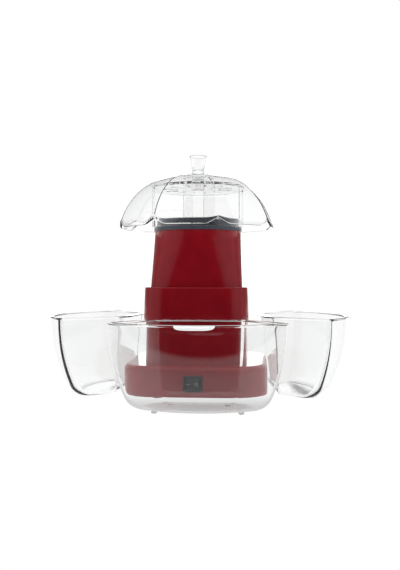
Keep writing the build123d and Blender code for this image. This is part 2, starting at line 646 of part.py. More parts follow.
def bowl_back(height):
    """Distance of the bowl's inner wall from the machine's axis."""
    t = (BOWL_RIM - height) / (BOWL_RIM - BOWL_BOTTOM)
    rise = min(height - BOWL_BOTTOM, BOWL_BOTTOM_ROUND / 2)
    left = BOWL_BOTTOM_ROUND / 2 - rise
    corner = BOWL_BOTTOM_ROUND / 2 - sqrt((BOWL_BOTTOM_ROUND / 2) ** 2 - left ** 2)
    return BOWL_BACK_RIM + (BOWL_BACK_FOOT - BOWL_BACK_RIM) * t ** 0.6 + corner


def bowl_outline(height, inset):
    """Horizontal outline of the bowl at one height, moved in by inset."""
    lean = bowl_lean(height)
    back = bowl_back(height) + inset
    back_half = BOWL_BACK_HALF - 0.35 * lean - inset
    corner_out = BOWL_CORNER_OUT - 0.55 * lean - inset
    corner_half = BOWL_CORNER_HALF - lean - 1.2 * inset
    front = BOWL_FRONT_OUT - 1.15 * lean - inset
    near = [(corner_out, -corner_half), (back, -back_half)]
    sides = Polyline(near + [(u, -v) for u, v in reversed(near)])
    bow = ThreePointArc((corner_out, corner_half), (front, 0), (corner_out, -corner_half))
    face = make_face(sides + bow)
    rounded = fillet(face.vertices(), BOWL_CORNER - inset)
    return Pos(0, 0, height) * rounded


def bowl():
    """One clear bowl with its feet, finger tab and the narrow flange towards the machine."""
    steps = [(step / BOWL_STATIONS) ** 2 for step in range(BOWL_STATIONS + 1)]
    depth = BOWL_RIM - BOWL_BOTTOM
    outer = loft([bowl_outline(BOWL_BOTTOM + depth * step, 0.0) for step in steps], ruled=True)
    lift = Pos(0, 0, BOWL_WALL)
    inner_depth = depth - BOWL_WALL
    inner_sections = [bowl_outline(BOWL_BOTTOM + inner_depth * step, BOWL_WALL) for step in steps]
    inner = loft([lift * section for section in inner_sections], ruled=True)
    tab_outline = RectangleRounded(BOWL_TAB_LENGTH, BOWL_TAB_WIDTH, 5)
    tab = extrude(tab_outline, BOWL_TAB_THICKNESS)
    tab = Pos(BOWL_FRONT_OUT + 2, 0, BOWL_RIM - BOWL_TAB_THICKNESS) * tab
    tab_lip = Pos(0, 0, -BOWL_WALL) * (tab - Pos(-BOWL_WALL, 0, 0) * tab)
    flange_width = 2 * (BOWL_BACK_HALF - 6)
    flange_length = BOWL_BACK_FLANGE + 2 * BOWL_WALL
    flange_place = BOWL_BACK_RIM - BOWL_BACK_FLANGE / 2 + BOWL_WALL
    flange = block(flange_length, flange_width, BOWL_RIM - BOWL_WALL, BOWL_RIM, flange_place)
    vessel = outer + tab + tab_lip + flange - inner
    for u, v in BOWL_FEET:
        for side in (-1, 1):
            vessel += rod(BOWL_FOOT_RADIUS, 0, BOWL_BOTTOM + 0.5, u, side * v)
    return vessel


def place_bowl(turn, push, side=0.0):
    """A bowl turned round the machine: 0 is in front of the switch. It stands off by push and to one side."""
    return Rot(0, 0, -90 + turn) * (Pos(push, side, 0) * bowl())


parts["base_housing"] = base_housing()
parts["base_plate"] = base_plate()
parts["base_feet"] = Compound(children=[foot(x, y) for x, y in corners(FOOT_PLACE)])
cover_screws = [pan_head_screw(x, y, FOOT_HEIGHT, BASE_TOP - 12) for x, y in COVER_SCREWS]
parts["cover_screws"] = Compound(children=cover_screws)
parts["column_shell"] = column_shell()
parts["collar_band"] = collar_band()
parts["upper_housing"] = upper_housing()
parts["chamber_ring"] = chamber_ring()
parts["popping_chamber"] = popping_chamber()
parts["chamber_floor"] = chamber_floor()
parts["heater_shroud"] = heater_shroud()
parts["heater_frame"] = heater_frame()
parts["heating_coil"] = heating_coil()
parts["thermostat"] = thermostat()
parts["thermal_fuse"] = thermal_fuse()
parts["fan_housing"] = fan_housing()
parts["motor_bracket"] = motor_bracket()
deck_top = FAN_DECK + DECK_THICKNESS
bracket_screws = [pan_head_screw(side * BRACKET_SCREW_PLACE, 0, MOTOR_TOP, deck_top) for side in (-1, 1)]
parts["bracket_screws"] = Compound(children=bracket_screws)
parts["motor"] = motor()
screw_tip = MOTOR_TOP - 5
motor_screws = [pan_head_screw(side * MOTOR_SCREW_PLACE, 0, FAN_DECK, screw_tip, -1) for side in (-1, 1)]
parts["motor_screws"] = Compound(children=motor_screws)
parts["motor_shaft"] = motor_shaft()
parts["fan_impeller"] = fan_impeller()
parts["rectifier_board"] = rectifier_board()
parts["rectifier_diodes"] = rectifier_diodes()
parts["switch_housing"] = switch_housing()
parts["switch_rocker"] = switch_rocker()
parts["switch_terminals"] = switch_terminals()
parts["cord_gland"] = cord_gland()
parts["cage_frame"] = cage_frame()
parts["cage_plate"] = cage_plate()
parts["canopy"] = canopy()
parts["knob"] = knob()
parts["bowl_front"] = place_bowl(0, FRONT_BOWL_PUSH, FRONT_BOWL_SIDE)
parts["bowl_left"] = place_bowl(-SIDE_BOWL_TURN, SIDE_BOWL_PUSH)
parts["bowl_right"] = place_bowl(SIDE_BOWL_TURN, SIDE_BOWL_PUSH)

os.makedirs("parts", exist_ok=True)
whole = None
for name, shape in parts.items():
    placed = Pos(0, FOOTPRINT_SHIFT, 0) * shape
    export_step(placed, f"parts/{name}.step")
    box = placed.bounding_box()
    whole = box if whole is None else whole.add(box)
print("low corner ", round(whole.min.X, 2), round(whole.min.Y, 2), round(whole.min.Z, 2))
print("high corner", round(whole.max.X, 2), round(whole.max.Y, 2), round(whole.max.Z, 2))
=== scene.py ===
import json
from math import asin, atan2, cos, pi, radians, sin, sqrt, tan

import bmesh
import bpy
from mathutils import Matrix, Vector


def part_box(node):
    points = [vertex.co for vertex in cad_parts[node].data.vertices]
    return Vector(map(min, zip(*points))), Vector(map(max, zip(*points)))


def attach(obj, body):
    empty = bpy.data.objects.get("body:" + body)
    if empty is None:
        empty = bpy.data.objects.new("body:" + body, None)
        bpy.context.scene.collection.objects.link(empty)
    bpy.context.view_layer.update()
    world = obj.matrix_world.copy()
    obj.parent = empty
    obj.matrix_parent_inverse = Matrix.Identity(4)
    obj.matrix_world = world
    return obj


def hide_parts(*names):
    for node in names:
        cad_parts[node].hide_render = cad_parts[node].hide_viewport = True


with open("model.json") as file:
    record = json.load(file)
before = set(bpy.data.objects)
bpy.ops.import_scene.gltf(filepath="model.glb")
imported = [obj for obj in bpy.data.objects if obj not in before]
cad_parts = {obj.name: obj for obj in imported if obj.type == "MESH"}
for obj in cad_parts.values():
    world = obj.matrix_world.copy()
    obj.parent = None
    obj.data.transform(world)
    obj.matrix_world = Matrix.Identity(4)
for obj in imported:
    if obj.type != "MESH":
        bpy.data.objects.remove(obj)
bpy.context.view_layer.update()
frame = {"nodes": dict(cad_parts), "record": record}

# ---------------------------------------------------------------------------------------------------------
# Places read from the frame, in metres
# ---------------------------------------------------------------------------------------------------------


def centre(node):
    """Middle of a CAD node's box."""
    low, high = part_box(node)
    return (low + high) / 2


AXIS = centre("motor_shaft")
AXIS_X = AXIS.x
AXIS_Y = AXIS.y

# ---------------------------------------------------------------------------------------------------------
# Camera and light
# ---------------------------------------------------------------------------------------------------------

EYE_DISTANCE = 0.945
EYE_HEIGHT = 0.159
EYE_TURN = radians(4.0)
LENS_MM = 44.2
PITCH_DOWN = radians(0.82)
AIM_RIGHT = radians(0.16)

# Brightness of the table as plastic shows it. Place 0 is half of TABLE_SPAN behind the machine's axis, and
# place 1 is as far in front of it. The first list is for rays that bounced inside the plastic.
TABLE_SPAN = 1.0
TABLE_BRIGHTNESS = [(0.0, 1.4), (0.52, 1.4), (0.62, 0.95), (0.815, 0.95), (0.845, 0.02), (1.0, 0.02)]
TABLE_STRAIGHT_THROUGH = [(0.0, 1.4), (0.52, 1.4), (0.62, 0.95), (1.0, 0.95)]
FLOOR_MIRRORED = 0.7
# Brightness of the studio against direction: 0 is behind the camera, 0.5 at its sides, 1 straight ahead
MIRRORED_STUDIO = [(0.0, 0.03), (0.07, 0.05), (0.13, 0.34), (0.3, 0.4), (0.6, 0.42), (0.72, 0.2),
                   (0.975, 0.25), (0.985, 2.6), (1.0, 2.6)]
STUDIO_THROUGH_PLASTIC = [(0.0, 0.02), (0.1, 0.04), (0.2, 0.45), (0.55, 0.6), (0.75, 0.8), (0.88, 1.03),
                          (1.0, 1.08)]
# The same for rays that went straight through, so that the plastic is clear from behind as well
STUDIO_STRAIGHT_THROUGH = [(0.0, 1.05), (0.12, 1.0), (0.25, 0.8), (0.5, 0.75), (0.75, 0.8), (0.88, 1.03),
                           (1.0, 1.08)]
WHITE = (1.0, 1.0, 1.0, 1.0)
FLOOR_HALF = 4.0

# Two soft boxes beside the camera and one overhead, in metres and watts
SIDE_LIGHT_TURN = radians(62)
SIDE_LIGHT_DISTANCE = 1.5
SIDE_LIGHT_HEIGHT = 0.55
SIDE_LIGHT_WIDTH = 0.7
SIDE_LIGHT_TALL = 1.6
SIDE_LIGHT_POWER = 16.0
SIDE_LIGHT_AIM = 0.16
TOP_LIGHT_DISTANCE = 0.25
TOP_LIGHT_HEIGHT = 1.6
TOP_LIGHT_SPAN = 1.4
TOP_LIGHT_POWER = 14.0

scene = bpy.context.scene
scene.view_settings.view_transform = "Standard"

AHEAD = Vector((-sin(EYE_TURN), cos(EYE_TURN), 0.0))
EYE = Vector((AXIS_X, AXIS_Y, EYE_HEIGHT)) - AHEAD * EYE_DISTANCE


def make_camera():
    """Camera in front of the machine and a little to its right, looking almost level."""
    data = bpy.data.cameras.new("camera")
    data.lens = LENS_MM
    data.clip_start = 0.01
    camera = bpy.data.objects.new("camera", data)
    scene.collection.objects.link(camera)
    look = Matrix.Rotation(-AIM_RIGHT, 3, "Z") @ AHEAD
    look = Vector((look.x * cos(PITCH_DOWN), look.y * cos(PITCH_DOWN), -sin(PITCH_DOWN)))
    camera.location = EYE
    camera.rotation_euler = look.to_track_quat("-Z", "Y").to_euler()
    scene.camera = camera


make_camera()


def nodes_of(tree_owner):
    """Empty node tree of a material or world, with its nodes and links."""
    tree_owner.use_nodes = True
    tree = tree_owner.node_tree
    tree.nodes.clear()
    return tree.nodes, tree.links


def ramp(nodes, stops):
    """Colour ramp with (position, grey or colour) stops."""
    node = nodes.new("ShaderNodeValToRGB")
    elements = node.color_ramp.elements
    while len(elements) > 1:
        elements.remove(elements[-1])
    for index, (place, colour) in enumerate(stops):
        if not isinstance(colour, (tuple, list)):
            colour = (colour, colour, colour)
        element = elements[0] if index == 0 else elements.new(place)
        element.position = place
        element.color = (*colour, 1.0)
    return node


def chosen_by_ray(nodes, links, ray, otherwise, then):
    """Colour that is the second one for rays of a kind, and the first one for the rest."""
    mix = nodes.new("ShaderNodeMix")
    mix.data_type = "RGBA"
    links.new(ray, mix.inputs["Factor"])
    links.new(otherwise, mix.inputs["A"])
    if then is WHITE:
        mix.inputs["B"].default_value = WHITE
    else:
        links.new(then, mix.inputs["B"])
    return mix.outputs["Result"]


def make_world():
    """Studio surround: white to the camera, darker for rays that are mirrored or bounced in plastic."""
    world = bpy.data.worlds.new("studio")
    scene.world = world
    nodes, links = nodes_of(world)
    coord = nodes.new("ShaderNodeTexCoord")
    dot = nodes.new("ShaderNodeVectorMath")
    dot.operation = "DOT_PRODUCT"
    dot.inputs[1].default_value = AHEAD
    links.new(coord.outputs["Generated"], dot.inputs[0])
    spread = nodes.new("ShaderNodeMapRange")
    spread.inputs["From Min"].default_value = -1.0
    spread.inputs["From Max"].default_value = 1.0
    links.new(dot.outputs["Value"], spread.inputs["Value"])
    mirrored = ramp(nodes, MIRRORED_STUDIO)
    through = ramp(nodes, STUDIO_THROUGH_PLASTIC)
    straight = ramp(nodes, STUDIO_STRAIGHT_THROUGH)
    for studio in (mirrored, through, straight):
        links.new(spread.outputs["Result"], studio.inputs["Fac"])
    path = nodes.new("ShaderNodeLightPath")
    seen_through = chosen_by_ray(nodes, links, path.outputs["Glossy Depth"], straight.outputs["Color"],
                                 through.outputs["Color"])
    colour = chosen_by_ray(nodes, links, path.outputs["Is Transmission Ray"], mirrored.outputs["Color"],
                           seen_through)
    colour = chosen_by_ray(nodes, links, path.outputs["Is Camera Ray"], colour, WHITE)
    background = nodes.new("ShaderNodeBackground")
    links.new(colour, background.inputs["Color"])
    output = nodes.new("ShaderNodeOutputWorld")
    links.new(background.outputs["Background"], output.inputs["Surface"])


make_world()


def soft_light(name, turn_from_camera, distance, height, width, tall, power, aim_height):
    """Rectangular soft box, turned round the machine from the camera's side, to the right when positive."""
    data = bpy.data.lights.new(name, "AREA")
    data.shape = "RECTANGLE"
    data.size = width
    data.size_y = tall
    data.energy = power
    lamp = bpy.data.objects.new(name, data)
    scene.collection.objects.link(lamp)
    towards = Matrix.Rotation(turn_from_camera, 3, "Z") @ (-AHEAD)
    place = Vector((AXIS_X, AXIS_Y, height)) + towards * distance
    target = Vector((AXIS_X, AXIS_Y, aim_height))
    lamp.location = place
    lamp.rotation_euler = (target - place).to_track_quat("-Z", "Y").to_euler()
    lamp.visible_glossy = False
    lamp.visible_transmission = False


for light_name, light_turn in (("soft_right", SIDE_LIGHT_TURN), ("soft_left", -SIDE_LIGHT_TURN)):
    soft_light(light_name, light_turn, SIDE_LIGHT_DISTANCE, SIDE_LIGHT_HEIGHT, SIDE_LIGHT_WIDTH,
               SIDE_LIGHT_TALL, SIDE_LIGHT_POWER, SIDE_LIGHT_AIM)
soft_light("soft_top", 0.0, TOP_LIGHT_DISTANCE, TOP_LIGHT_HEIGHT, TOP_LIGHT_SPAN, TOP_LIGHT_SPAN,
           TOP_LIGHT_POWER, 0.0)


def make_floor():
    """White floor. Rays that bounced inside plastic find it dark beyond the table's near edge."""
    mesh = bpy.data.meshes.new("floor")
    corners = [(-FLOOR_HALF, -FLOOR_HALF), (FLOOR_HALF, -FLOOR_HALF), (FLOOR_HALF, FLOOR_HALF),
               (-FLOOR_HALF, FLOOR_HALF)]
    mesh.from_pydata([(x + AXIS_X, y + AXIS_Y, 0.0) for x, y in corners], [], [(0, 1, 2, 3)])
    floor = bpy.data.objects.new("floor", mesh)
    scene.collection.objects.link(floor)
    material = bpy.data.materials.new("floor_white")
    nodes, links = nodes_of(material)
    coord = nodes.new("ShaderNodeTexCoord")
    forward = nodes.new("ShaderNodeVectorMath")
    forward.operation = "DOT_PRODUCT"
    forward.inputs[1].default_value = -AHEAD
    links.new(coord.outputs["Object"], forward.inputs[0])
    nearness = nodes.new("ShaderNodeMapRange")
    axis_place = -AHEAD.dot(Vector((AXIS_X, AXIS_Y, 0.0)))
    nearness.inputs["From Min"].default_value = axis_place - TABLE_SPAN / 2
    nearness.inputs["From Max"].default_value = axis_place + TABLE_SPAN / 2
    links.new(forward.outputs["Value"], nearness.inputs["Value"])
    table = ramp(nodes, TABLE_BRIGHTNESS)
    straight_table = ramp(nodes, TABLE_STRAIGHT_THROUGH)
    for brightness in (table, straight_table):
        links.new(nearness.outputs["Result"], brightness.inputs["Fac"])
    path = nodes.new("ShaderNodeLightPath")
    brightness_seen = chosen_by_ray(nodes, links, path.outputs["Glossy Depth"],
                                    straight_table.outputs["Color"], table.outputs["Color"])
    seen = chosen_by_ray(nodes, links, path.outputs["Is Camera Ray"], brightness_seen, WHITE)
    glow = nodes.new("ShaderNodeEmission")
    links.new(seen, glow.inputs["Color"])
    dimmed = nodes.new("ShaderNodeMapRange")
    dimmed.inputs["To Min"].default_value = 1.0
    dimmed.inputs["To Max"].default_value = FLOOR_MIRRORED
    links.new(path.outputs["Is Glossy Ray"], dimmed.inputs["Value"])
    links.new(dimmed.outputs["Result"], glow.inputs["Strength"])
    output = nodes.new("ShaderNodeOutputMaterial")
    links.new(glow.outputs["Emission"], output.inputs["Surface"])
    mesh.materials.append(material)


make_floor()

# ---------------------------------------------------------------------------------------------------------
# Materials
# ---------------------------------------------------------------------------------------------------------

# Noise values where a finish has its dark and its light colour
GRAIN_DARK = 0.3
GRAIN_LIGHT = 0.7
# How much finer the bump's noise is than the grain's, and its detail
FINER = 3.0
FINE_DETAIL = 2.0
RIPPLE_DETAIL = 1.5
# Depth of the bump and of the plastic's ripple, in metres
RELIEF_DEPTH = 0.0004
RIPPLE_DEPTH = 0.001
PLASTIC_IOR = 1.5

def noise(nodes, links, scale, detail=3.0, stretch=None):
    """Noise in object space, in metres, with an optional stretch along the axes."""
    coord = nodes.new("ShaderNodeTexCoord")
    texture = nodes.new("ShaderNodeTexNoise")
    texture.inputs["Scale"].default_value = scale
    texture.inputs["Detail"].default_value = detail
    if stretch is None:
        links.new(coord.outputs["Object"], texture.inputs["Vector"])
    else:
        mapping = nodes.new("ShaderNodeMapping")
        mapping.inputs["Scale"].default_value = stretch
        links.new(coord.outputs["Object"], mapping.inputs["Vector"])
        links.new(mapping.outputs["Vector"], texture.inputs["Vector"])
    return texture


def solid_material(name, dark, light, rough, grain_scale, bump, metallic=0.0, stretch=None, bump_scale=None):
    """Opaque finish: a fine noise varies colour and roughness, and a second noise gives the bump."""
    material = bpy.data.materials.new(name)
    nodes, links = nodes_of(material)
    shader = nodes.new("ShaderNodeBsdfPrincipled")
    shader.inputs["Metallic"].default_value = metallic
    grain = noise(nodes, links, grain_scale, stretch=stretch)
    colour = ramp(nodes, [(GRAIN_DARK, dark), (GRAIN_LIGHT, light)])
    links.new(grain.outputs["Fac"], colour.inputs["Fac"])
    links.new(colour.outputs["Color"], shader.inputs["Base Color"])
    roughness = nodes.new("ShaderNodeMapRange")
    roughness.inputs["To Min"].default_value = rough[0]
    roughness.inputs["To Max"].default_value = rough[1]
    links.new(grain.outputs["Fac"], roughness.inputs["Value"])
    links.new(roughness.outputs["Result"], shader.inputs["Roughness"])
    fine = noise(nodes, links, bump_scale or grain_scale * FINER, FINE_DETAIL, stretch)
    relief = nodes.new("ShaderNodeBump")
    relief.inputs["Strength"].default_value = bump
    relief.inputs["Distance"].default_value = RELIEF_DEPTH
    links.new(fine.outputs["Fac"], relief.inputs["Height"])
    links.new(relief.outputs["Normal"], shader.inputs["Normal"])
    output = nodes.new("ShaderNodeOutputMaterial")
    links.new(shader.outputs["BSDF"], output.inputs["Surface"])
    return material


def clear_material(name, tint, rough, wave_scale, wave, clearness=1.0):
    """Clear moulded plastic with a slow ripple, milky where clearness is below 1."""
    material = bpy.data.materials.new(name)
    nodes, links = nodes_of(material)
    shader = nodes.new("ShaderNodeBsdfPrincipled")
    shader.inputs["Base Color"].default_value = (*tint, 1.0)
    shader.inputs["Transmission Weight"].default_value = clearness
    shader.inputs["IOR"].default_value = PLASTIC_IOR
    ripple = noise(nodes, links, wave_scale, RIPPLE_DETAIL)
    roughness = nodes.new("ShaderNodeMapRange")
    roughness.inputs["To Min"].default_value = rough[0]
    roughness.inputs["To Max"].default_value = rough[1]
    links.new(ripple.outputs["Fac"], roughness.inputs["Value"])
    links.new(roughness.outputs["Result"], shader.inputs["Roughness"])
    relief = nodes.new("ShaderNodeBump")
    relief.inputs["Strength"].default_value = wave
    relief.inputs["Distance"].default_value = RIPPLE_DEPTH
    links.new(ripple.outputs["Fac"], relief.inputs["Height"])
    links.new(relief.outputs["Normal"], shader.inputs["Normal"])
    output = nodes.new("ShaderNodeOutputMaterial")
    links.new(shader.outputs["BSDF"], output.inputs["Surface"])
    return material


SOLID_FINISHES = {
    "red_gloss": dict(dark=(0.148, 0.0022, 0.0058), light=(0.178, 0.0028, 0.007), rough=(0.10, 0.16),
                      grain_scale=60.0, bump=0.05, bump_scale=90.0),
    "black_plastic": dict(dark=(0.012, 0.012, 0.014), light=(0.02, 0.02, 0.022), rough=(0.45, 0.6),
                          grain_scale=400.0, bump=0.3),
    "black_ring": dict(dark=(0.034, 0.039, 0.049), light=(0.044, 0.05, 0.061), rough=(0.2, 0.26),
                       grain_scale=300.0, bump=0.02),
    "foot_rubber": dict(dark=(0.012, 0.012, 0.013), light=(0.022, 0.022, 0.023), rough=(0.7, 0.85),
                        grain_scale=500.0, bump=0.4),
    "screw_steel": dict(dark=(0.42, 0.42, 0.43), light=(0.55, 0.55, 0.57), rough=(0.25, 0.4),
                        grain_scale=500.0, bump=0.1, metallic=1.0),
    "chamber_aluminium": dict(dark=(0.70, 0.70, 0.71), light=(0.82, 0.82, 0.83), rough=(0.25, 0.4),
                              grain_scale=90.0, bump=0.15, metallic=1.0, stretch=(1.0, 1.0, 9.0)),
    "shroud_steel": dict(dark=(0.42, 0.43, 0.45), light=(0.62, 0.63, 0.65), rough=(0.35, 0.5),
                         grain_scale=120.0, bump=0.1, metallic=1.0),
    "mica_board": dict(dark=(0.36, 0.28, 0.16), light=(0.58, 0.50, 0.36), rough=(0.4, 0.6),
                       grain_scale=150.0, bump=0.3),
    "heater_wire": dict(dark=(0.22, 0.20, 0.19), light=(0.36, 0.33, 0.31), rough=(0.4, 0.6),
                        grain_scale=400.0, bump=0.2, metallic=1.0),
    "thermostat_steel": dict(dark=(0.5, 0.5, 0.5), light=(0.66, 0.66, 0.67), rough=(0.25, 0.35),
                             grain_scale=300.0, bump=0.1, metallic=1.0),
    "motor_steel": dict(dark=(0.42, 0.42, 0.43), light=(0.56, 0.56, 0.58), rough=(0.3, 0.45),
                        grain_scale=200.0, bump=0.1, metallic=1.0),
    "shaft_steel": dict(dark=(0.6, 0.6, 0.61), light=(0.72, 0.72, 0.73), rough=(0.12, 0.2),
                        grain_scale=300.0, bump=0.05, metallic=1.0, stretch=(1.0, 1.0, 0.1)),
    "fan_plastic": dict(dark=(0.66, 0.65, 0.61), light=(0.76, 0.75, 0.71), rough=(0.4, 0.5),
                        grain_scale=200.0, bump=0.1),
    "circuit_board": dict(dark=(0.16, 0.09, 0.03), light=(0.25, 0.15, 0.06), rough=(0.4, 0.55),
                          grain_scale=150.0, bump=0.1),
    "diode_black": dict(dark=(0.01, 0.01, 0.01), light=(0.02, 0.02, 0.02), rough=(0.3, 0.45),
                        grain_scale=400.0, bump=0.1),
    "switch_black": dict(dark=(0.006, 0.006, 0.007), light=(0.012, 0.012, 0.013), rough=(0.25, 0.35),
                         grain_scale=350.0, bump=0.15),
    "rocker_black": dict(dark=(0.008, 0.008, 0.009), light=(0.014, 0.014, 0.015), rough=(0.2, 0.3),
                         grain_scale=350.0, bump=0.1),
    "terminal_brass": dict(dark=(0.60, 0.42, 0.16), light=(0.74, 0.55, 0.24), rough=(0.2, 0.35),
                           grain_scale=300.0, bump=0.1, metallic=1.0),
}
MATERIALS = {name: solid_material(name, **finish) for name, finish in SOLID_FINISHES.items()}
MATERIALS["clear_plastic"] = clear_material("clear_plastic", (0.99, 0.995, 0.993), (0.0, 0.02), 14.0, 0.12)

slot_of = {entry["node"]: entry["material_slot"] for entry in frame["record"]["subparts"]}
for node, obj in frame["nodes"].items():
    obj.data.materials.clear()
    obj.data.materials.append(MATERIALS[slot_of[node]])
    if slot_of[node] == "clear_plastic":
        obj.visible_shadow = False

# ---------------------------------------------------------------------------------------------------------
# Mesh pieces, measured in millimetres round the machine's axis
# ---------------------------------------------------------------------------------------------------------


def placed(u, v, z, turn=0.0, push=0.0, side=0.0):
    """Point in metres. Before turning, u points out over the switch, v sideways to its right and z up."""
    angle = radians(turn - 90.0)
    x = (u + push) * cos(angle) - (v + side) * sin(angle)
    y = (u + push) * sin(angle) + (v + side) * cos(angle)
    return Vector((AXIS_X + x / 1000, AXIS_Y + y / 1000, z / 1000))


def skin(rings, loop=False):
    """Closed skin through rings of equal length: capped at its two ends, or joined end to end as a loop."""
    count = len(rings[0])
    points = [point for ring in rings for point in ring]
    faces = []
    for row in range(len(rings) if loop else len(rings) - 1):
        here = row * count
        there = (row + 1) % len(rings) * count
        for index in range(count):
            after = (index + 1) % count
            faces.append((here + index, here + after, there + after, there + index))
    if not loop:
        faces.append(tuple(range(count)))
        faces.append(tuple(range(len(points) - count, len(points))))
    return points, faces


def turned(profile, segments=72, u=0.0, v=0.0, loop=True, place=()):
    """Skin of a profile of (radius, height) points turned round an upright line."""
    rings = []
    for radius, z in profile:
        angles = [2 * pi * step / segments for step in range(segments)]
        rings.append([placed(u + radius * cos(a), v + radius * sin(a), z, *place) for a in angles])
    return skin(rings, loop)


def make_piece(name, islands, body, slot, replaced=(), sharp=30.0, material=None):
    """Object made of closed skins, riding on a CAD body and standing for the CAD nodes named."""
    mesh = bpy.data.meshes.new(name)
    points = []
    faces = []
    for island_points, island_faces in islands:
        start = len(points)
        points.extend(island_points)
        faces.extend(tuple(start + index for index in face) for face in island_faces)
    mesh.from_pydata(points, [], faces)
    work = bmesh.new()
    work.from_mesh(mesh)
    bmesh.ops.recalc_face_normals(work, faces=work.faces)
    work.to_mesh(mesh)
    work.free()
    mesh.shade_smooth()
    mesh.set_sharp_from_angle(angle=radians(sharp))
    mesh.materials.append(material or MATERIALS[slot])
    piece = bpy.data.objects.new(name, mesh)
    scene.collection.objects.link(piece)
    piece.visible_shadow = slot != "clear_plastic"
    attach(piece, body)
    if replaced:
        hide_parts(*replaced)


# Clear bowls
BOWL_RIM = 105.0
BOWL_BOTTOM = 2.0
BOWL_WALL = 2.0
BOWL_BACK_RIM = 85.0
BOWL_BACK_FOOT = 94.5
BOWL_BACK_HALF = 52.7
BOWL_CORNER_OUT = 148.0
BOWL_CORNER_HALF = 104.5
BOWL_FRONT_OUT = 191.0
BOWL_LEAN = 24.0
BOWL_BOTTOM_ROUND = 14.0
BOWL_CORNER = 8.0
BOWL_STATIONS = 22
LEAN_POWER = 2.2
BACK_POWER = 0.6
CORNER_OUT_LEAN = 0.55
FRONT_LEAN = 1.15
BACK_HALF_LEAN = 0.35
CORNER_INSET = 1.2
FRONT_STEPS = 14
BOWL_FEET = [(115.0, 34.0), (140.0, 50.0)]
BOWL_BEAD = [(102.2, 0.0), (102.7, -0.7), (103.5, -1.2), (104.4, -1.0), (104.9, -0.3), (105.0, 0.6),
             (104.9, 1.5), (104.4, 2.0)]
TAB_HALF = 22.0
TAB_REACH = 8.2
TAB_END_REACH = 3.2
TAB_GAP = 1.3
TAB_TOP = 104.6
TAB_END_DROP = 0.25
TAB_STEPS = 24
# How far a tab's skin stands in from its full reach, None for the rim itself, and how far it drops
TAB_SECTION = [(None, 0.0), (2.6, 0.2), (1.2, 0.7), (0.4, 1.6), (0.0, 2.8), (0.0, 4.2), (0.7, 4.8),
               (1.5, 4.2), (2.0, 2.7), (None, 2.1)]
FLANGE_HALF = 46.5
FLANGE_REACH = 7.4
FLANGE_END_REACH = 1.0
FLANGE_STEPS = 20
FLANGE_TOP = 104.8
FLANGE_BOTTOM = 103.1
FLANGE_INSIDE = 0.1
FLANGE_ROUND = 0.5
FLANGE_SINK = 1.2
BOWL_FOOT = [(2.4, 0.0), (3.0, 0.2), (3.4, 0.8), (3.4, BOWL_BOTTOM - 0.02)]
FRONT_BOWL_PLACE = (0.0, 5.0, 9.5)
SIDE_BOWL_TURN = 98.0
SIDE_BOWL_PUSH = 6.8


def rounding(height, radius):
    """How far a wall stands in at one height because of the round where it meets the floor."""
    left = radius - min(height - BOWL_BOTTOM, radius)
    return radius - sqrt(radius ** 2 - left ** 2)


def bowl_front_arc(height, inset):
    """Radius, centre and half angle of the bowed front wall."""
    depth = (BOWL_RIM - height) / (BOWL_RIM - BOWL_BOTTOM)
    lean = BOWL_LEAN * depth ** LEAN_POWER + rounding(height, BOWL_BOTTOM_ROUND)
    corner_out = BOWL_CORNER_OUT - CORNER_OUT_LEAN * lean - inset
    corner_half = BOWL_CORNER_HALF - lean - CORNER_INSET * inset
    front = BOWL_FRONT_OUT - FRONT_LEAN * lean - inset
    bow = front - corner_out
    radius = (corner_half ** 2 + bow ** 2) / (2 * bow)
    return radius, front - radius, asin(corner_half / radius), lean, corner_out, corner_half


def rounded_corner(before, corner, after, steps=6):
    """Points of a curve from before to after that leaves the corner out."""
    points = []
    for step in range(steps + 1):
        t = step / steps
        points.append(tuple((1 - t) ** 2 * a + 2 * t * (1 - t) * b + t * t * c
                            for a, b, c in zip(before, corner, after)))
    return points


def bowl_outline(height, inset):
    """Horizontal outline of a bowl as (u, v) points, all the way round."""
    radius, centre_u, half_angle, lean, corner_out, corner_half = bowl_front_arc(height, inset)
    depth = (BOWL_RIM - height) / (BOWL_RIM - BOWL_BOTTOM)
    back = BOWL_BACK_RIM + (BOWL_BACK_FOOT - BOWL_BACK_RIM) * depth ** BACK_POWER
    back += rounding(height, BOWL_BOTTOM_ROUND / 2) + inset
    back_half = BOWL_BACK_HALF - BACK_HALF_LEAN * lean - inset
    side = atan2(corner_half - back_half, corner_out - back)
    round_radius = BOWL_CORNER - inset
    trim_back = round_radius * tan((pi / 2 - side) / 2)
    trim_front = round_radius * tan((pi / 2 - half_angle + side) / 2)
    along = (cos(side), sin(side))
    half = rounded_corner((back, back_half - trim_back), (back, back_half),
                          (back + trim_back * along[0], back_half + trim_back * along[1]))
    arc_start = half_angle - trim_front / radius
    arc_point = (centre_u + radius * cos(arc_start), radius * sin(arc_start))
    half += rounded_corner((corner_out - trim_front * along[0], corner_half - trim_front * along[1]),
                           (corner_out, corner_half), arc_point)
    for step in range(1, FRONT_STEPS):
        angle = arc_start * (1 - step / FRONT_STEPS)
        half.append((centre_u + radius * cos(angle), radius * sin(angle)))
    front = [(centre_u + radius, 0.0)]
    return half + front + [(u, -v) for u, v in reversed(half)]


def bowl_ring(height, inset, lift, place):
    """One outline of a bowl in its place."""
    return [placed(u, v, height + lift, *place) for u, v in bowl_outline(height, inset)]


# Painted highlight: the tabs get a whitish, half milky material that stands in for the bright glint of the
# overhead light along their rounded lips.
TAB_WHITE_PAINTED_HIGHLIGHT = clear_material("tab_painted_highlight", (0.93, 0.94, 0.94), (0.2, 0.3), 60.0, 0.1, 0.45)


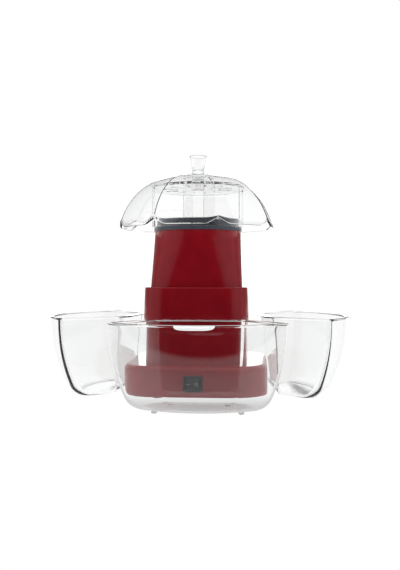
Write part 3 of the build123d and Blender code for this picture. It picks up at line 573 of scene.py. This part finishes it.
def make_tab(name, body, place):
    """Finger tab that follows the bow of the rim and turns down at its edge; its whitish, half milky
    material is a painted highlight.
    """
    radius, centre_u, _, _, _, _ = bowl_front_arc(BOWL_RIM, -TAB_GAP)
    sections = []
    for step in range(TAB_STEPS + 1):
        share = 2 * step / TAB_STEPS - 1
        angle = share * TAB_HALF / radius
        fullness = sqrt(max(0.0, 1 - share ** 4))
        reach = TAB_END_REACH + (TAB_REACH - TAB_END_REACH) * fullness
        outline = [(0.0 if short is None else reach - short, down) for short, down in TAB_SECTION]
        squeeze = TAB_END_DROP + (1 - TAB_END_DROP) * fullness
        sections.append([placed(centre_u + (radius + out) * cos(angle), (radius + out) * sin(angle),
                                TAB_TOP - down * squeeze, *place) for out, down in outline])
    make_piece(name, [skin(sections)], body, "clear_plastic", material=TAB_WHITE_PAINTED_HIGHLIGHT)


def make_bowl(name, body, node, place):
    """Clear bowl: thin shell with a beaded rim, flange behind and four small feet."""
    shares = [(step / BOWL_STATIONS) ** 2 for step in range(BOWL_STATIONS)]
    depth = BOWL_RIM - 3.0 - BOWL_BOTTOM
    rings = [bowl_ring(BOWL_BOTTOM + depth * share, 0.0, 0.0, place) for share in shares]
    rings += [bowl_ring(height, inset, 0.0, place) for height, inset in BOWL_BEAD]
    inner_depth = depth - BOWL_WALL
    rings += [bowl_ring(BOWL_BOTTOM + inner_depth * share, BOWL_WALL, BOWL_WALL, place)
              for share in reversed(shares)]
    islands = [skin(rings)]

    sections = []
    for step in range(FLANGE_STEPS + 1):
        share = 2 * step / FLANGE_STEPS - 1
        reach = FLANGE_END_REACH + (FLANGE_REACH - FLANGE_END_REACH) * (1 - share ** 8)
        outline = [(-FLANGE_INSIDE, FLANGE_TOP), (FLANGE_ROUND - reach, FLANGE_TOP),
                   (-reach, FLANGE_TOP - FLANGE_ROUND), (-reach, FLANGE_BOTTOM + FLANGE_ROUND),
                   (FLANGE_ROUND - reach, FLANGE_BOTTOM), (-FLANGE_INSIDE, FLANGE_BOTTOM)]
        sections.append([placed(BOWL_BACK_RIM - FLANGE_SINK + out, share * FLANGE_HALF, z, *place)
                         for out, z in outline])
    islands.append(skin(sections))
    for u, v in BOWL_FEET:
        for side in (-1, 1):
            islands.append(turned(BOWL_FOOT, 24, u, side * v, False, place))
    make_piece(name, islands, body, "clear_plastic", [node])
    make_tab(name + "_tab", body, place)


make_bowl("clear_bowl_front", "front_bowl", "bowl_front", FRONT_BOWL_PLACE)
make_bowl("clear_bowl_left", "left_bowl", "bowl_left", (-SIDE_BOWL_TURN, SIDE_BOWL_PUSH))
make_bowl("clear_bowl_right", "right_bowl", "bowl_right", (SIDE_BOWL_TURN, SIDE_BOWL_PUSH))

# Canopy of eight petals
CANOPY_TOP = 291.4
CANOPY_SPRING = 215.6
CANOPY_FULL_RADIUS = 102.5
CANOPY_BULGE = 3.0
CANOPY_WALL = 2.0
CANOPY_STATIONS = 26
PETALS = 8
PETAL_STEPS = 20
PETAL_TURN = 17.5
PETAL_SETBACK = 130.0
PETAL_EDGE = 221.8
NOTCH_RISE = 7.2
NOTCH_HALF = 14.0
BOSS_RADIUS = 18.0
BOSS_TOP = 293.0
STEM_HOLE = 4.2
EDGE_BEAD = 0.7
BEAD_START = 0.985
CANOPY_START = 19.0
SLOPE_STEP = 0.2
CREASE_SHARP = 12.0
# Rounding of the canopy's edge: how far down in millimetres, and what share of the wall's thickness in
EDGE_ROUND = [(0.5, 0.25), (0.6, 0.5), (0.5, 0.75)]


def canopy_height(radius):
    """Height of the canopy's outer face at one distance from the axis, in a petal's middle."""
    left = 1 - (radius / CANOPY_FULL_RADIUS) ** CANOPY_BULGE
    return CANOPY_SPRING + (CANOPY_TOP - CANOPY_SPRING) * left ** (2 / CANOPY_BULGE)


def canopy_radius(height):
    """Distance from the axis, in a petal's middle, where the outer face is at one height."""
    left = ((height - CANOPY_SPRING) / (CANOPY_TOP - CANOPY_SPRING)) ** (CANOPY_BULGE / 2)
    return CANOPY_FULL_RADIUS * (1 - left) ** (1 / CANOPY_BULGE)


def petal_distance(radius, off_middle):
    """Distance from the axis in a direction turned away from the petal's middle."""
    swing = PETAL_SETBACK * sin(off_middle)
    return sqrt((radius + PETAL_SETBACK) ** 2 - swing ** 2) - PETAL_SETBACK * cos(off_middle)


def petal_edge_height(off_middle):
    """Height of the canopy's edge: level along a petal, rising to a point where two petals meet."""
    edge_radius = petal_distance(canopy_radius(PETAL_EDGE), off_middle)
    from_crease = edge_radius * sin(pi / PETALS - abs(off_middle))
    return PETAL_EDGE + NOTCH_RISE * max(0.0, 1 - from_crease / NOTCH_HALF)


def make_canopy():
    """Clear canopy, two millimetres thick, with creases between its petals and a round boss on top."""
    count = PETALS * PETAL_STEPS
    directions = []
    for index in range(count):
        off_middle = (index % PETAL_STEPS / PETAL_STEPS - 0.5) * 2 * pi / PETALS
        directions.append((2 * pi * index / count, off_middle))
    outer = []
    inner = []
    for station in range(CANOPY_STATIONS + 1):
        share = sin(station / CANOPY_STATIONS * pi / 2)
        outer_ring = []
        inner_ring = []
        for direction, off_middle in directions:
            edge = canopy_radius(petal_edge_height(off_middle))
            radius = CANOPY_START + (edge - CANOPY_START) * share
            z = canopy_height(radius)
            bead = EDGE_BEAD * max(0.0, (share - BEAD_START) / (1 - BEAD_START))
            slope = (canopy_height(radius) - canopy_height(radius - SLOPE_STEP)) / SLOPE_STEP
            length = sqrt(1 + slope * slope)
            deeper = radius + CANOPY_WALL * slope / length
            lower = z - CANOPY_WALL / length
            proud = radius - bead * slope / length
            higher = z + bead / length
            for ring, r, height in ((outer_ring, proud, higher), (inner_ring, deeper, lower)):
                distance = petal_distance(r, off_middle)
                u = distance * cos(direction)
                v = distance * sin(direction)
                ring.append(placed(u, v, height, PETAL_TURN))
        outer.append(outer_ring)
        inner.append(inner_ring)
    for share, thickness in EDGE_ROUND:
        ring = []
        for a, b, before in zip(outer[-1], inner[-1], outer[-2]):
            down = (a - before).normalized() * share / 1000
            ring.append(a + (b - a) * thickness + down)
        outer.append(ring)
    boss = [(STEM_HOLE, CANOPY_TOP - CANOPY_WALL), (STEM_HOLE, BOSS_TOP - 0.3), (STEM_HOLE + 0.3, BOSS_TOP),
            (BOSS_RADIUS - 1.0, BOSS_TOP), (BOSS_RADIUS - 0.3, BOSS_TOP - 0.3),
            (BOSS_RADIUS, BOSS_TOP - 0.9), (BOSS_RADIUS, CANOPY_TOP)]
    rings = []
    for radius, z in boss:
        rings.append([placed(radius * cos(a), radius * sin(a), z, PETAL_TURN) for a, _ in directions])
    rings += outer + inner[::-1]
    make_piece("clear_canopy", [skin(rings, True)], "cover", "clear_plastic", ["canopy"],
               CREASE_SHARP)


make_canopy()

# Hollow knob and its stem
PLATE_BOTTOM = 273.4
KNOB_PROFILE = [(3.9, PLATE_BOTTOM + 1.0), (3.9, 292.6), (6.8, 293.05), (7.6, 293.6), (7.8, 295.0),
                (10.4, 315.6), (11.2, 317.0), (11.8, 317.6), (11.8, 318.3), (11.3, 318.6), (10.0, 318.4),
                (8.8, 316.0), (6.4, 300.6), (5.4, 299.2), (0.4, 298.8)]
make_piece("clear_knob", [turned(KNOB_PROFILE, 64, loop=False)], "cover", "clear_plastic", ["knob"])

# Pale on and off marks on the rocker
ROCKER_PIVOT = (0.0, 88.5, 25.5)
ROCKER_TILT = radians(-7.0)
ROCKER_HOLLOW = 28.0
ROCKER_DEPTH = 5.5
MARK_PLACE = 5.2
MARK_RELIEF = 0.12
MARK_SINK = 0.1
BAR_HALF_LENGTH = 1.9
BAR_HALF_WIDTH = 0.4
RING_INSIDE = 1.3
RING_OUTSIDE = 2.0
RING_SEGMENTS = 32


def on_rocker(across, up, proud):
    """Point on the rocker's hollow face, or proud of it, with the rocker at rest."""
    forward = ROCKER_DEPTH + ROCKER_HOLLOW - sqrt(ROCKER_HOLLOW ** 2 - across ** 2) + proud
    x = across * cos(ROCKER_TILT) + forward * sin(ROCKER_TILT)
    ahead = forward * cos(ROCKER_TILT) - across * sin(ROCKER_TILT)
    return placed(ROCKER_PIVOT[1] + ahead, x, ROCKER_PIVOT[2] + up)


def make_marks():
    """A bar and a ring, a tenth of a millimetre proud, as on any mains rocker."""
    bar = []
    for along, up in ((-1, -1), (1, -1), (1, 1), (-1, 1)):
        across = along * BAR_HALF_LENGTH - MARK_PLACE
        bar.append([on_rocker(across, up * BAR_HALF_WIDTH, proud) for proud in (-MARK_SINK, MARK_RELIEF)])
    islands = [skin([[pair[level] for pair in bar] for level in (0, 1)])]
    section = [(RING_INSIDE, -MARK_SINK), (RING_INSIDE, MARK_RELIEF), (RING_OUTSIDE, MARK_RELIEF),
               (RING_OUTSIDE, -MARK_SINK)]
    angles = [2 * pi * step / RING_SEGMENTS for step in range(RING_SEGMENTS)]
    rings = []
    for radius, proud in section:
        rings.append([on_rocker(MARK_PLACE + radius * cos(a), radius * sin(a), proud) for a in angles])
    islands.append(skin(rings, True))
    pale = solid_material("mark_grey", (0.16, 0.165, 0.17), (0.2, 0.205, 0.21), (0.45, 0.6), 600.0, 0.1)
    make_piece("rocker_marks", islands, "rocker", "rocker_black", material=pale)


make_marks()
